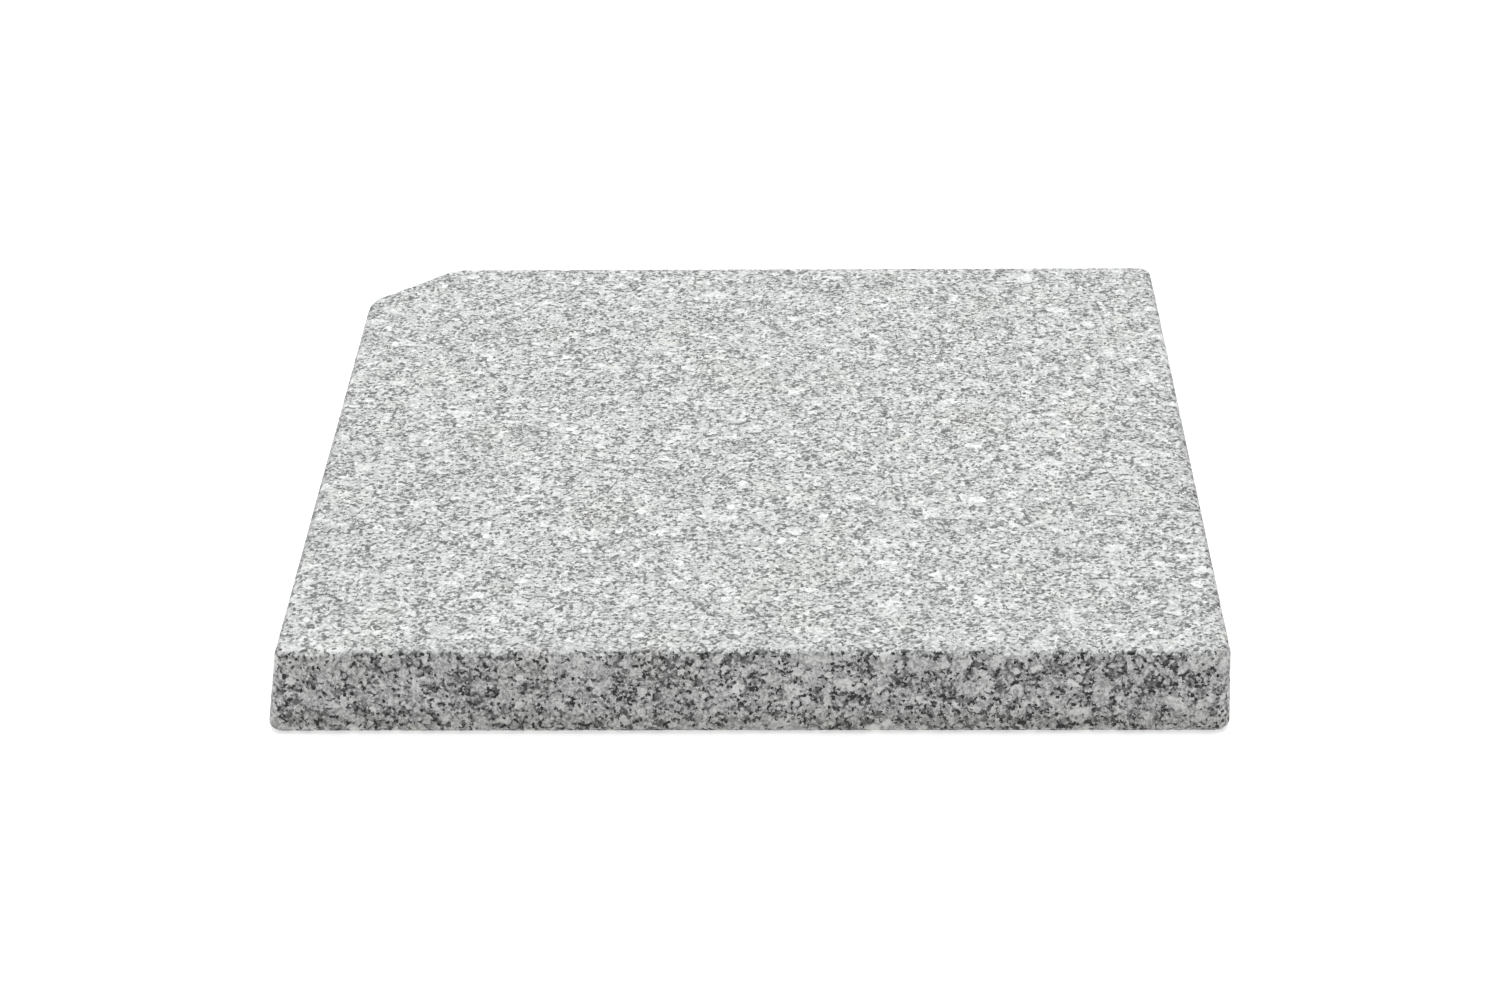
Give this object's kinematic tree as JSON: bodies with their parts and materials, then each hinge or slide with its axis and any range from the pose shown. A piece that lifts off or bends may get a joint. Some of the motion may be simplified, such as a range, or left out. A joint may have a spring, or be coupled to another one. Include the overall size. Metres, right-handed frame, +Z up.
{
  "type": "granite slab",
  "caption": "Square bench slab of light grey granite with one corner cut off, a flat heavy base to work on or to weigh something down.",
  "frame": {"origin": "centre of the underside, on the surface the slab rests on", "axes": "+Z up, normal to the working face; -Y is the front side, +X is right, and the cut corner is at -X, +Y"},
  "size_m": [0.3, 0.3, 0.028],
  "materials": {
    "granite": "matt honed light grey granite with fine dark mica flecks and pale feldspar crystals"
  },
  "bodies": {
    "root": {"slab": "granite"}
  },
  "joints": []
}
